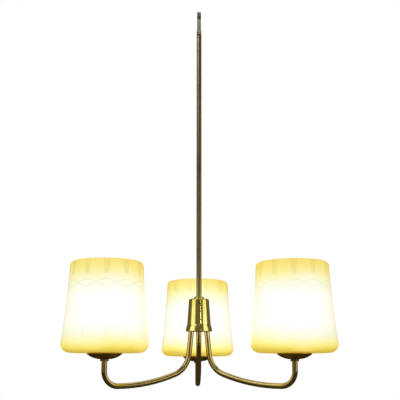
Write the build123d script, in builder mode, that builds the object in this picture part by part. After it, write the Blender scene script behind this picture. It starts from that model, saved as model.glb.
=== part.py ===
from build123d import *
import os
from math import cos, radians, sin

os.makedirs("parts", exist_ok=True)

# Three-arm brass chandelier with upright opal glass shades, hung by an eye.
# Millimetres, +Z up. Origin at the centre of the hanging eye; the back arm points along +Y.

# ---------------------------------------------------------------- driving dimensions
TUBE_R = 5.0              # rod and arms are 10 mm tube, the M10 x 1 lighting size
TUBE_BORE_R = 4.0
DROP = 654.0              # from the eye's centre down to the hub's lower rim
HUB_BASE = -DROP

# hanging eye and the rod's top fitting
EYE_BORE_R = 9.0
EYE_WALL = 2.0
EYE_WIDTH = 8.0
EYE_BORE_ROUND = 0.5
LEG_TOP = -8.0            # where the fork's legs grow out of the eye
FORK_GAP = 5.3            # half the clear distance between the fork's legs
PIVOT_Z = -40.0
FERRULE_TOP = -31.0
FERRULE_CHAMFER = 0.8
ROD_TOP = -49.0
FERRULE_BORE_R = 3.0
SPIGOT_LENGTH = 10.0
PIVOT_SCREW_R = 1.5
PIVOT_PLAY = 0.05
PIVOT_HEAD_R = 3.0
PIVOT_HEAD_HEIGHT = 1.8
PIVOT_GAP = 0.2           # between the screws and what they don't touch
PIVOT_SLOT = (0.7, 0.8)   # driver slots are given as width and depth

# hub
HUB_HEIGHT = 61.4
HUB_WALL = 0.8
HUB_TOP_R = 19.3
HUB_WAIST_R = 22.6
HUB_WAIST_Z = 13.0
HUB_RIM_R = 25.4
HUB_TOP_ROUND = 2.6
ROD_CLEARANCE = 0.3
COLLAR_R = 9.65
COLLAR_HEIGHT = 5.0
COLLAR_SHOULDER = 1.6
BUSH_R = 18.0
BUSH_HEIGHT = 14.0
BUSH_PLAY = 0.08
BUSH_CHAMFER = 1.6
SET_SCREW_R = 1.93
SET_SCREW_HOLE_R = 2.0
SET_SCREW_Z = 53.0        # above the hub's rim
SET_SCREW_GAP = 0.35      # between the screw's tip and the rod
SET_SCREW_END = 20.0      # from the hub's axis
SET_SCREW_CHAMFER = 0.4
SET_SCREW_SLOT = (0.6, 1.0)
PLATE_R = 22.6
PLATE_LOW = 1.0
PLATE_THICK = 4.5
NUT_FLATS = 14.0
NUT_HEIGHT = 4.0
CABLE_HOLE_R = 2.6
CABLE_HOLE_LIFT = 5.0     # above the terminal block

# terminal block behind the rod, inside the hub
BLOCK_SIZE = (20.0, 9.0, 18.0)
BLOCK_Y = 11.0
BLOCK_LOW = 17.0
WAYS = 3
WAY_PITCH = 6.4
BARREL_SIDE = 4.0
WIRE_HOLE_R = 1.3
CLAMP_SCREW_R = 1.2
CLAMP_SCREW_LENGTH = 1.9
CLAMP_WELL_PLAY = 0.4
CLAMP_SLOT = (0.5, 0.6)
BLOCK_ROUND = 1.5
BARREL_INSET = 1.0
POST_R = 1.5
POST_PLACE = (3.2, 9.0)

# arms: down and slightly outward, round a shoulder, along a shallow curve, up a tight heel
ARM_CIRCLE_R = 17.1
ARM_REACH = 193.3         # hub axis to shade axis
SPLAY_TURN = 6.5
SPLAY_R = 60.0
SPLAY_Z = -1.5            # heights of the arm's corners are taken from the hub's rim
SHOULDER_Z = -69.4
SHOULDER_R = 45.0
RUN_TURN = 20.0
RUN_SHARE = 0.99          # of the room between shoulder and heel that the run's curve takes
HEEL_R = 26.5
RISER_TOP = -47.0
LEAD_R = 1.6
LEAD_BEND_R = 1.5
LEAD_TURN_DROP = 3.0      # from the terminal block down to where a lead turns to its arm
LEAD_END_GAP = 0.5

# cup and the collar under it
CUP_R = 31.0
CUP_RIM = -42.2
CUP_LIP = 2.0
CUP_FLOOR = -53.0
CUP_FLAT_R = 9.0
CUP_WALL = 1.0
CUP_COLLAR_R = 7.8
CUP_COLLAR_HEIGHT = 3.5
CUP_COLLAR_ROUND = 0.7

# lampholder, E27
HOLDER_CAP_TOP = -37.0
HOLDER_FOOT_R = 9.0
HOLDER_TOP = -2.0
HOLDER_R = 19.8
HOLDER_WALL = 2.0
HOLDER_MOUTH_R = 15.0
CORE_R = 17.4
CORE_LOW = -42.0
CORE_TOP = -6.0
SOCKET_R = 14.1
SOCKET_FLOOR = -30.0
SLEEVE_OUTER_R = 14.0
SLEEVE_INNER_R = 13.5
SLEEVE_LOW = -27.0
SLEEVE_TOP = -8.0
CONTACT_R = 4.0
CONTACT_THICK = 0.8

# bulb, A60
BULB_R = 30.0
BULB_CENTRE = 45.0
BULB_NECK_R = 13.0
BULB_NECK_TOP = 2.0
BULB_SHOULDER = (21.6, 21.0)
BULB_WALL = 0.8
CAP_R = 13.1
CAP_TOP = -2.0
CAP_THREAD_LOW = -23.0
CAP_TIP = -28.9
CAP_TIP_R = 4.6
CAP_TIP_HEIGHT = 1.2
CAP_CHAMFER = 1.5

# opal shade
SHADE_LOW = -42.0
SHADE_TOP = 118.0
SHADE_LOW_R = 79.4
SHADE_MID_R = 74.5
SHADE_TOP_R = 65.9
SHADE_LOW_ROUND = 16.0
SHADE_TOP_ROUND = 8.0
SHADE_WALL = 3.0
SHADE_HOLE_R = 21.0
SHADE_MOUTH_R = 57.5
MOUTH_ROUND = 1.3

# ring that clamps the shade
RING_PLAY = 0.3
RING_FLANGE_R = 27.5
RING_FLANGE_THICK = 2.5
RING_NECK_R = 23.0
RING_HEIGHT = 9.0
RING_GAP = 0.2
RING_NOTCHES = 12
RING_NOTCH_R = 1.2

ARMS = {"left": 210.0, "right": 330.0, "back": 90.0}


# ---------------------------------------------------------------- helpers
def hub_z(height):
    """Height above the hub's rim, as a height in the part's frame."""
    return HUB_BASE + height


def save(piece, label):
    piece.part.label = label
    export_step(piece.part, f"parts/{label}.step")


def arm_plane(azimuth):
    """Upright plane through the hub axis: local x outward along the arm, local y up."""
    a = radians(azimuth)
    return Plane(origin=(0, 0, HUB_BASE), x_dir=(cos(a), sin(a), 0), z_dir=(sin(a), -cos(a), 0))


def shade_plane(azimuth):
    """Upright plane whose local y runs up the shade's own axis."""
    a = radians(azimuth)
    centre = (ARM_REACH * cos(a), ARM_REACH * sin(a), HUB_BASE)
    return Plane(origin=centre, x_dir=(cos(a), sin(a), 0), z_dir=(sin(a), -cos(a), 0))


def polar(azimuth, distance):
    """Plan position at a distance from the hub's axis in the direction of an arm."""
    a = radians(azimuth)
    return (distance * cos(a), distance * sin(a))


def shade_axis(azimuth):
    return Axis(shade_plane(azimuth).origin, (0, 0, 1))


def level(azimuth, height):
    """Level plane on the shade's axis at a height above the hub's rim."""
    centre = shade_plane(azimuth).origin
    return Plane(origin=(centre.X, centre.Y, hub_z(height)))


# ---------------------------------------------------------------- suspension
with BuildPart() as hanging_eye:
    eye_outer_r = EYE_BORE_R + EYE_WALL
    leg_y = FORK_GAP + EYE_WALL / 2
    with BuildSketch(Plane.YZ) as eye_face:
        Circle(eye_outer_r)
        Circle(EYE_BORE_R, mode=Mode.SUBTRACT)
        leg_low = PIVOT_Z - EYE_WIDTH / 2
        with Locations((leg_y, (LEG_TOP + leg_low) / 2), (-leg_y, (LEG_TOP + leg_low) / 2)):
            Rectangle(EYE_WALL, LEG_TOP - leg_low)
    extrude(amount=EYE_WIDTH / 2, both=True)
    leg_ends = hanging_eye.edges().filter_by(Axis.Y).group_by(Axis.Z)[0]
    fillet(leg_ends, radius=EYE_WIDTH / 2 - 0.1)
    with BuildSketch(Plane.XZ) as pivot_hole:
        with Locations((0, PIVOT_Z)):
            Circle(PIVOT_SCREW_R + PIVOT_PLAY)
    extrude(amount=2 * eye_outer_r, both=True, mode=Mode.SUBTRACT)
    bore_edges = hanging_eye.edges().filter_by(GeomType.CIRCLE).filter_by(
        lambda edge: abs(edge.radius - EYE_BORE_R) < 0.01
    )
    fillet(bore_edges, radius=EYE_BORE_ROUND)
save(hanging_eye, "hanging_eye")

with BuildPart() as eye_screws:
    screw_tip = FERRULE_BORE_R + PIVOT_GAP
    head_seat = FORK_GAP + EYE_WALL + PIVOT_GAP
    for side in (1, -1):
        facing = Plane(origin=(0, 0, PIVOT_Z), x_dir=(1, 0, 0), z_dir=(0, side, 0))
        with BuildSketch(facing.offset(screw_tip)):
            Circle(PIVOT_SCREW_R)
        extrude(amount=head_seat - screw_tip)
        with BuildSketch(facing.offset(head_seat)):
            Circle(PIVOT_HEAD_R)
        extrude(amount=PIVOT_HEAD_HEIGHT)
        with BuildSketch(facing.offset(head_seat + PIVOT_HEAD_HEIGHT)):
            Rectangle(2 * PIVOT_HEAD_R, PIVOT_SLOT[0])
        extrude(amount=-PIVOT_SLOT[1], mode=Mode.SUBTRACT)
save(eye_screws, "eye_screws")

with BuildPart() as rod_ferrule:
    with BuildSketch(Plane.XY.offset(ROD_TOP)):
        Circle(TUBE_R)
    extrude(amount=FERRULE_TOP - ROD_TOP)
    chamfer(rod_ferrule.faces().sort_by(Axis.Z)[-1].edges(), length=FERRULE_CHAMFER)
    with BuildSketch(Plane.XY.offset(ROD_TOP)):
        Circle(TUBE_BORE_R)
    extrude(amount=-SPIGOT_LENGTH)
    with BuildSketch(Plane.XY.offset(FERRULE_TOP)):
        Circle(FERRULE_BORE_R)
    extrude(amount=-(FERRULE_TOP - ROD_TOP + SPIGOT_LENGTH), mode=Mode.SUBTRACT)
    with BuildSketch(Plane.XZ):
        with Locations((0, PIVOT_Z)):
            Circle(PIVOT_SCREW_R)
    extrude(amount=TUBE_R + 1, both=True, mode=Mode.SUBTRACT)
save(rod_ferrule, "rod_ferrule")

with BuildPart() as hanging_rod:
    rod_low = hub_z(PLATE_LOW)
    with BuildSketch(Plane.XY.offset(rod_low)):
        Circle(TUBE_R)
        Circle(TUBE_BORE_R, mode=Mode.SUBTRACT)
    extrude(amount=ROD_TOP - rod_low)
    with BuildSketch(Plane.XZ):
        with Locations((0, hub_z(BLOCK_LOW + BLOCK_SIZE[2] + CABLE_HOLE_LIFT))):
            Circle(CABLE_HOLE_R)
    extrude(amount=-2 * TUBE_R, mode=Mode.SUBTRACT)
save(hanging_rod, "hanging_rod")


# ---------------------------------------------------------------- hub
def hub_region(inset):
    """Half profile of the bell, filled to its axis; inset gives the inner face."""
    top = (HUB_TOP_R - inset, HUB_HEIGHT - inset)
    waist = (HUB_WAIST_R - inset, HUB_WAIST_Z)
    rim = (HUB_RIM_R - inset, 0)
    low = -1.0 if inset else 0.0  # the inner face runs on below the rim, so the bell is open
    with BuildSketch() as region:
        with BuildLine():
            Line((0, low), (0, top[1]))
            Line((0, top[1]), top)
            Line(top, waist)
            TangentArc(waist, rim, tangent=(waist[0] - top[0], waist[1] - top[1]))
            if inset:
                Line(rim, (rim[0], low))
            Line((rim[0], low), (0, low))
        make_face()
        corner = region.vertices().group_by(Axis.Y)[-1].sort_by(Axis.X)[-1]
        fillet(corner, radius=HUB_TOP_ROUND - inset)
    return region.sketch


upright = Plane(origin=(0, 0, HUB_BASE), x_dir=(1, 0, 0), z_dir=(0, -1, 0))
set_screw_plane = Plane(origin=(0, 0, hub_z(SET_SCREW_Z)), x_dir=(1, 0, 0), z_dir=(0, -1, 0))

with BuildPart() as hub_cover:
    with BuildSketch(upright):
        add(hub_region(0))
    revolve(axis=Axis.Z)
    with BuildSketch(upright):
        add(hub_region(HUB_WALL))
    revolve(axis=Axis.Z, mode=Mode.SUBTRACT)
    with BuildSketch(Plane.XY.offset(hub_z(HUB_HEIGHT + 1))):
        Circle(TUBE_R + ROD_CLEARANCE)
    extrude(amount=-HUB_WALL - 2, mode=Mode.SUBTRACT)
    with BuildSketch(set_screw_plane):
        Circle(SET_SCREW_HOLE_R)
    extrude(amount=HUB_RIM_R, mode=Mode.SUBTRACT)
save(hub_cover, "hub_cover")

with BuildPart() as cover_bush:
    bush_top = HUB_HEIGHT - HUB_WALL
    with BuildSketch(Plane.XY.offset(hub_z(bush_top))):
        Circle(BUSH_R)
        Circle(TUBE_R + BUSH_PLAY, mode=Mode.SUBTRACT)
    extrude(amount=-BUSH_HEIGHT)
    top_edges = cover_bush.faces().sort_by(Axis.Z)[-1].edges()
    chamfer(top_edges.sort_by(SortBy.RADIUS)[-1], length=BUSH_CHAMFER)
    with BuildSketch(set_screw_plane):
        Circle(SET_SCREW_HOLE_R)
    extrude(amount=HUB_RIM_R, mode=Mode.SUBTRACT)
save(cover_bush, "cover_bush")

with BuildPart() as rod_collar:
    with BuildSketch(upright):
        with BuildLine():
            foot = Line((TUBE_R + ROD_CLEARANCE, HUB_HEIGHT), (COLLAR_R, HUB_HEIGHT))
            skirt = Line(foot @ 1, (COLLAR_R, HUB_HEIGHT + COLLAR_SHOULDER))
            crown = (TUBE_R + ROD_CLEARANCE, HUB_HEIGHT + COLLAR_HEIGHT)
            dome = TangentArc(skirt @ 1, crown, tangent=(0, 1))
            Line(dome @ 1, foot @ 0)
        make_face()
    revolve(axis=Axis.Z)
save(rod_collar, "rod_collar")

with BuildPart() as cover_set_screw:
    screw_start = TUBE_R + SET_SCREW_GAP
    with BuildSketch(set_screw_plane.offset(screw_start)):
        Circle(SET_SCREW_R)
    extrude(amount=SET_SCREW_END - screw_start)
    chamfer(cover_set_screw.faces().sort_by(Axis.Y)[-1].edges(), length=SET_SCREW_CHAMFER)
    with BuildSketch(set_screw_plane.offset(SET_SCREW_END)):
        Rectangle(2 * SET_SCREW_R, SET_SCREW_SLOT[0])
    extrude(amount=-SET_SCREW_SLOT[1], mode=Mode.SUBTRACT)
save(cover_set_screw, "cover_set_screw")

plate_top = PLATE_LOW + PLATE_THICK
with BuildPart() as arm_plate:
    with BuildSketch(Plane.XY.offset(hub_z(PLATE_LOW))):
        Circle(PLATE_R)
        Circle(TUBE_R, mode=Mode.SUBTRACT)
        with PolarLocations(ARM_CIRCLE_R, len(ARMS), start_angle=ARMS["back"]):
            Circle(TUBE_R, mode=Mode.SUBTRACT)
    extrude(amount=PLATE_THICK)
save(arm_plate, "arm_plate")

with BuildPart() as rod_nut:
    with BuildSketch(Plane.XY.offset(hub_z(plate_top))):
        RegularPolygon(NUT_FLATS / 2, 6, major_radius=False)
        Circle(TUBE_R, mode=Mode.SUBTRACT)
    extrude(amount=NUT_HEIGHT)
save(rod_nut, "rod_nut")

with BuildPart() as terminal_post:
    with BuildSketch(Plane.XY.offset(hub_z(plate_top))):
        with Locations(POST_PLACE):
            Circle(POST_R)
    extrude(amount=BLOCK_LOW - plate_top)
save(terminal_post, "terminal_post")

way_xs = [WAY_PITCH * (way - (WAYS - 1) / 2) for way in range(WAYS)]
block_mid = hub_z(BLOCK_LOW + BLOCK_SIZE[2] / 2)
clamp_zs = [block_mid - BLOCK_SIZE[2] / 4, block_mid + BLOCK_SIZE[2] / 4]
block_back = BLOCK_Y + BLOCK_SIZE[1] / 2
block_back_plane = Plane(origin=(0, block_back, 0), x_dir=(1, 0, 0), z_dir=(0, -1, 0))
clamp_places = [(x, z) for x in way_xs for z in clamp_zs]

with BuildPart() as terminal_block:
    with BuildSketch(Plane.XY.offset(hub_z(BLOCK_LOW))):
        with Locations((0, BLOCK_Y)):
            RectangleRounded(BLOCK_SIZE[0], BLOCK_SIZE[1], BLOCK_ROUND)
        with Locations([(x, BLOCK_Y) for x in way_xs]):
            Rectangle(BARREL_SIDE, BARREL_SIDE, mode=Mode.SUBTRACT)
    extrude(amount=BLOCK_SIZE[2])
    with BuildSketch(block_back_plane):
        with Locations(clamp_places):
            Circle(CLAMP_SCREW_R + CLAMP_WELL_PLAY)
    extrude(amount=(BLOCK_SIZE[1] - BARREL_SIDE) / 2, mode=Mode.SUBTRACT)
save(terminal_block, "terminal_block")

with BuildPart() as terminal_barrels:
    with BuildSketch(Plane.XY.offset(hub_z(BLOCK_LOW + BARREL_INSET))):
        with Locations([(x, BLOCK_Y) for x in way_xs]):
            Rectangle(BARREL_SIDE, BARREL_SIDE)
            Circle(WIRE_HOLE_R, mode=Mode.SUBTRACT)
    extrude(amount=BLOCK_SIZE[2] - 2 * BARREL_INSET)
save(terminal_barrels, "terminal_barrels")

with BuildPart() as terminal_screws:
    barrel_face = Plane(origin=(0, BLOCK_Y + BARREL_SIDE / 2, 0), x_dir=(1, 0, 0), z_dir=(0, -1, 0))
    with BuildSketch(barrel_face):
        with Locations(clamp_places):
            Circle(CLAMP_SCREW_R)
    extrude(amount=-CLAMP_SCREW_LENGTH)
    with BuildSketch(barrel_face.offset(-CLAMP_SCREW_LENGTH)):
        with Locations(clamp_places):
            Rectangle(2 * CLAMP_SCREW_R, CLAMP_SLOT[0])
    extrude(amount=CLAMP_SLOT[1], mode=Mode.SUBTRACT)
save(terminal_screws, "terminal_screws")


# ---------------------------------------------------------------- arms
def arm_corners(top):
    """Corner points of the arm's centre line, and the radius that rounds each one."""
    splay, slope = radians(SPLAY_TURN), radians(RUN_TURN)
    shoulder_half = (radians(90) - splay - slope) / 2
    shoulder_reach = SHOULDER_R * sin(shoulder_half) / cos(shoulder_half)
    under_plate = (ARM_CIRCLE_R, SPLAY_Z)
    splay_out = (SPLAY_Z - SHOULDER_Z) * sin(splay) / cos(splay)
    shoulder = (ARM_CIRCLE_R + splay_out, SHOULDER_Z)
    spare = ARM_REACH - shoulder[0] - HEEL_R - shoulder_reach * cos(slope)
    run_reach = spare / (1 + cos(slope))
    run_radius = RUN_SHARE * run_reach * cos(slope / 2) / sin(slope / 2)
    along = shoulder_reach + run_reach
    run_middle = (shoulder[0] + along * cos(slope), SHOULDER_Z - along * sin(slope))
    heel = (ARM_REACH, run_middle[1])
    points = [(ARM_CIRCLE_R, top), under_plate, shoulder, run_middle, heel, (ARM_REACH, RISER_TOP)]
    return points, [SPLAY_R, SHOULDER_R, run_radius, HEEL_R]


def make_arm(azimuth):
    corners, radii = arm_corners(plate_top)
    with BuildPart() as arm:
        with BuildLine(arm_plane(azimuth)) as centre_line:
            FilletPolyline(*corners, radius=radii)
        with BuildSketch(Plane.XY.offset(hub_z(plate_top))):
            with Locations(polar(azimuth, ARM_CIRCLE_R)):
                Circle(TUBE_R)
                Circle(TUBE_BORE_R, mode=Mode.SUBTRACT)
        sweep(path=centre_line.line)
    return arm


def make_lead(azimuth, way_x):
    """Two-core lead from the terminal block, through the arm, up into the lampholder."""
    corners, radii = arm_corners(BLOCK_LOW - LEAD_TURN_DROP)
    corners[-1] = (ARM_REACH, CORE_LOW - LEAD_END_GAP)
    plane = arm_plane(azimuth)
    route = [plane.from_local_coords(corner) for corner in corners]
    turn_z = route[0].Z
    entry = [Vector(way_x, BLOCK_Y, hub_z(BLOCK_LOW)), Vector(way_x, BLOCK_Y, turn_z)]
    with BuildPart() as lead:
        with BuildLine() as centre_line:
            FilletPolyline(*entry, *route, radius=[LEAD_BEND_R, LEAD_BEND_R, *radii])
        with BuildSketch(Plane.XY.offset(entry[0].Z)):
            with Locations((way_x, BLOCK_Y)):
                Circle(LEAD_R)
        sweep(path=centre_line.line)
    return lead


# ---------------------------------------------------------------- cup and collar
def make_collar(azimuth):
    with BuildPart() as collar:
        with BuildSketch(level(azimuth, CUP_FLOOR)):
            Circle(CUP_COLLAR_R)
            Circle(TUBE_R, mode=Mode.SUBTRACT)
        extrude(amount=-CUP_COLLAR_HEIGHT)
        outer_edges = collar.edges().filter_by(GeomType.CIRCLE).sort_by(SortBy.RADIUS)[-2:]
        fillet(outer_edges, radius=CUP_COLLAR_ROUND)
    return collar


def make_cup(azimuth):
    """Shallow turned dish with an upright lip; the arm's end stands up through its floor."""
    lip = CUP_RIM - CUP_LIP
    with BuildPart() as cup:
        with BuildSketch(shade_plane(azimuth)):
            with BuildLine():
                floor = Line((TUBE_R, CUP_FLOOR), (CUP_FLAT_R, CUP_FLOOR))
                bowl = TangentArc(floor @ 1, (CUP_R, lip), tangent=(1, 0))
                rim = Polyline(bowl @ 1, (CUP_R, CUP_RIM), (CUP_R - CUP_WALL, CUP_RIM))
                drop = Line(rim @ 1, (CUP_R - CUP_WALL, lip))
                inner_floor = (CUP_FLAT_R, CUP_FLOOR + CUP_WALL)
                TangentArc(inner_floor, drop @ 1, tangent=(1, 0))
                Polyline(inner_floor, (TUBE_R, CUP_FLOOR + CUP_WALL), floor @ 0)
            make_face()
        revolve(axis=shade_axis(azimuth))
    return cup


# ---------------------------------------------------------------- lampholder
def make_holder_cap(azimuth):
    """Lower half of the lampholder: screws on the arm's end and clamps the cup."""
    low = CUP_FLOOR + CUP_WALL
    spring = low + HOLDER_R - HOLDER_FOOT_R
    with BuildPart() as cap:
        with BuildSketch(shade_plane(azimuth)):
            with BuildLine():
                foot = Line((TUBE_R, low), (HOLDER_FOOT_R, low))
                dome = TangentArc(foot @ 1, (HOLDER_R, spring), tangent=(1, 0))
                wall = Line(dome @ 1, (HOLDER_R, HOLDER_CAP_TOP))
                seat = Line(wall @ 1, (HOLDER_R - HOLDER_WALL, HOLDER_CAP_TOP))
                inner = Line(seat @ 1, (HOLDER_R - HOLDER_WALL, spring))
                inner_floor = (HOLDER_FOOT_R, low + HOLDER_WALL)
                TangentArc(inner_floor, inner @ 1, tangent=(1, 0))
                Polyline(inner_floor, (TUBE_R, low + HOLDER_WALL), foot @ 0)
            make_face()
        revolve(axis=shade_axis(azimuth))
    return cap


def make_holder_shell(azimuth):
    with BuildPart() as shell:
        with BuildSketch(level(azimuth, HOLDER_CAP_TOP)):
            Circle(HOLDER_R)
            Circle(HOLDER_R - HOLDER_WALL, mode=Mode.SUBTRACT)
        extrude(amount=HOLDER_TOP - HOLDER_CAP_TOP)
        with BuildSketch(level(azimuth, HOLDER_TOP)):
            Circle(HOLDER_R)
            Circle(HOLDER_MOUTH_R, mode=Mode.SUBTRACT)
        extrude(amount=-HOLDER_WALL)
    return shell


def make_holder_core(azimuth):
    with BuildPart() as core:
        with BuildSketch(level(azimuth, CORE_LOW)):
            Circle(CORE_R)
        extrude(amount=CORE_TOP - CORE_LOW)
        with BuildSketch(level(azimuth, CORE_TOP)):
            Circle(SOCKET_R)
        extrude(amount=SOCKET_FLOOR - CORE_TOP, mode=Mode.SUBTRACT)
    return core


def make_sleeve(azimuth):
    with BuildPart() as sleeve:
        with BuildSketch(level(azimuth, SLEEVE_LOW)):
            Circle(SLEEVE_OUTER_R)
            Circle(SLEEVE_INNER_R, mode=Mode.SUBTRACT)
        extrude(amount=SLEEVE_TOP - SLEEVE_LOW)
    return sleeve


def make_contact(azimuth):
    with BuildPart() as contact:
        with BuildSketch(level(azimuth, SOCKET_FLOOR)):
            Circle(CONTACT_R)
        extrude(amount=CONTACT_THICK)
    return contact


# ---------------------------------------------------------------- bulb
def bulb_region(inset):
    """Half profile of the bulb's glass, filled to its axis; inset gives the inner face."""
    neck_r = BULB_NECK_R - inset
    low = CAP_TOP - (1.0 if inset else 0.0)
    widest = (BULB_R - inset, BULB_CENTRE)
    crown = BULB_CENTRE + BULB_R - inset
    with BuildSketch() as region:
        with BuildLine():
            neck = Line((neck_r, low), (neck_r, BULB_NECK_TOP))
            shoulder = (BULB_SHOULDER[0] - inset, BULB_SHOULDER[1])
            Spline(neck @ 1, shoulder, widest, tangents=((0, 1), (0, 1)))
            TangentArc(widest, (0, crown), tangent=(0, 1))
            Polyline((0, crown), (0, low), neck @ 0)
        make_face()
    return region.sketch


def make_bulb_glass(azimuth):
    with BuildPart() as glass:
        for inset, mode in ((0.0, Mode.ADD), (BULB_WALL, Mode.SUBTRACT)):
            with BuildSketch(shade_plane(azimuth)):
                add(bulb_region(inset))
            revolve(axis=shade_axis(azimuth), mode=mode)
    return glass


def make_bulb_cap(azimuth):
    with BuildPart() as cap:
        with BuildSketch(shade_plane(azimuth)):
            with BuildLine():
                Polyline(
                    (0, CAP_TIP),
                    (CAP_TIP_R, CAP_TIP),
                    (CAP_TIP_R, CAP_TIP + CAP_TIP_HEIGHT),
                    (CAP_R - CAP_CHAMFER, CAP_THREAD_LOW - CAP_CHAMFER),
                    (CAP_R, CAP_THREAD_LOW),
                    (CAP_R, CAP_TOP),
                    (0, CAP_TOP),
                    close=True,
                )
            make_face()
        revolve(axis=shade_axis(azimuth))
    return cap


# ---------------------------------------------------------------- opal shade and its ring
def shade_region(inset):
    """Half profile of the shade, filled to its axis; inset gives the inner face."""
    low, top = SHADE_LOW + inset, SHADE_TOP - inset
    with BuildSketch() as region:
        with BuildLine():
            floor = Line((0, low), (SHADE_LOW_R - inset, low))
            middle = (SHADE_MID_R - inset, (SHADE_LOW + SHADE_TOP) / 2)
            side = ThreePointArc(floor @ 1, middle, (SHADE_TOP_R - inset, top))
            Polyline(side @ 1, (0, top), floor @ 0)
        make_face()
        low_corner = region.vertices().group_by(Axis.Y)[0].sort_by(Axis.X)[-1]
        fillet(low_corner, radius=SHADE_LOW_ROUND - inset)
        top_corner = region.vertices().group_by(Axis.Y)[-1].sort_by(Axis.X)[-1]
        fillet(top_corner, radius=SHADE_TOP_ROUND - inset)
    return region.sketch


def make_shade(azimuth):
    with BuildPart() as shade:
        for inset, mode in ((0.0, Mode.ADD), (SHADE_WALL, Mode.SUBTRACT)):
            with BuildSketch(shade_plane(azimuth)):
                add(shade_region(inset))
            revolve(axis=shade_axis(azimuth), mode=mode)
        with BuildSketch(level(azimuth, SHADE_TOP)):
            Circle(SHADE_MOUTH_R)
        extrude(amount=-2 * SHADE_WALL, mode=Mode.SUBTRACT)
        with BuildSketch(level(azimuth, SHADE_LOW)):
            Circle(SHADE_HOLE_R)
        extrude(amount=2 * SHADE_WALL, mode=Mode.SUBTRACT)
        mouth_edges = shade.edges().filter_by(GeomType.CIRCLE).filter_by(
            lambda e: abs(e.radius - SHADE_MOUTH_R) < 0.01
        )
        fillet(mouth_edges, radius=MOUTH_ROUND)
    return shade


def make_ring(azimuth):
    low = SHADE_LOW + SHADE_WALL + RING_GAP
    bore = HOLDER_R + RING_PLAY
    with BuildPart() as ring:
        with BuildSketch(level(azimuth, low)):
            Circle(RING_FLANGE_R)
            Circle(bore, mode=Mode.SUBTRACT)
            with PolarLocations(RING_FLANGE_R, RING_NOTCHES):
                Circle(RING_NOTCH_R, mode=Mode.SUBTRACT)
        extrude(amount=RING_FLANGE_THICK)
        with BuildSketch(level(azimuth, low + RING_FLANGE_THICK)):
            Circle(RING_NECK_R)
            Circle(bore, mode=Mode.SUBTRACT)
        extrude(amount=RING_HEIGHT - RING_FLANGE_THICK)
    return ring


MAKERS = {
    "arm": make_arm,
    "arm_collar": make_collar,
    "cup": make_cup,
    "holder_cap": make_holder_cap,
    "holder_shell": make_holder_shell,
    "holder_core": make_holder_core,
    "socket_sleeve": make_sleeve,
    "socket_contact": make_contact,
    "bulb_cap": make_bulb_cap,
    "bulb_glass": make_bulb_glass,
    "shade": make_shade,
    "shade_ring": make_ring,
}
WAY_OF_ARM = {"left": way_xs[0], "back": way_xs[1], "right": way_xs[2]}

for arm_name, arm_azimuth in ARMS.items():
    for piece_name, maker in MAKERS.items():
        save(maker(arm_azimuth), f"{piece_name}_{arm_name}")
    save(make_lead(arm_azimuth, WAY_OF_ARM[arm_name]), f"lead_{arm_name}")
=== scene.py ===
from math import atan, atan2, cos, hypot, pi, radians, sin, tan

import bmesh
import bpy
from mathutils import Matrix, Vector


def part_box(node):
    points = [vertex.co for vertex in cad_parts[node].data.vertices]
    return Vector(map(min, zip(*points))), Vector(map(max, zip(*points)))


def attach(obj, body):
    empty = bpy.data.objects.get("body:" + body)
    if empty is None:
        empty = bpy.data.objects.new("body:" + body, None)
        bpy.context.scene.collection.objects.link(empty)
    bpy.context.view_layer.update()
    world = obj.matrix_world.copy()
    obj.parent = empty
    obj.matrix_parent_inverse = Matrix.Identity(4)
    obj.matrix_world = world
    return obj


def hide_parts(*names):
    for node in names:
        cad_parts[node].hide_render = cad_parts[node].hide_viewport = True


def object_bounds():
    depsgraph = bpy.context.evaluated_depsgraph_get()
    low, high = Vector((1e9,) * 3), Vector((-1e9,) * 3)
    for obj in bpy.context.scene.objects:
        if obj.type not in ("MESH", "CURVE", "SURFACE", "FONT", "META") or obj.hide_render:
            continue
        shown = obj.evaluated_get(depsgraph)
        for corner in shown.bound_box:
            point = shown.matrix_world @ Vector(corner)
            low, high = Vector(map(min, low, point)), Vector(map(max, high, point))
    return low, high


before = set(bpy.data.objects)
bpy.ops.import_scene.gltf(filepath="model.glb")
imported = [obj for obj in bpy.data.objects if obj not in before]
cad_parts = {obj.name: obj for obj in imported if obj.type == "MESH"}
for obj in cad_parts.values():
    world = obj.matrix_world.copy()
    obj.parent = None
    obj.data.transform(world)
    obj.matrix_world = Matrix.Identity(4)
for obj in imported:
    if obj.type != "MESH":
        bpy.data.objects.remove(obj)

# Three-arm brass chandelier with upright opal glass shades.
# The scene is in metres, +Z up, with its origin at the centre of the hanging eye and the back
# arm along +Y. Outlines of turned pieces and paths of bent tubes are in millimetres: radius from
# the piece's own upright axis, and height above the hub's lower rim.

cad_low, cad_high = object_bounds()
MM = 0.001
ARMS = {"left": 210.0, "right": 330.0, "back": 90.0}
HUB_AXIS = Vector((0.0, 0.0, 0.0))
HUB_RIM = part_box("hub_cover")[0][2]
PLATE_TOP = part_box("arm_plate")[1][2]


def heights(node):
    """A node's lowest and highest points, in millimetres above the hub's lower rim."""
    low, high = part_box(node)
    return (low[2] - HUB_RIM) / MM, (high[2] - HUB_RIM) / MM


def arm_axis(arm):
    """Point on the upright axis of an arm's cup and shade, level with the hub's lower rim."""
    low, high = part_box(f"cup_{arm}")
    centre = (Vector(low) + Vector(high)) / 2
    return Vector((centre.x, centre.y, HUB_RIM))


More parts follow.
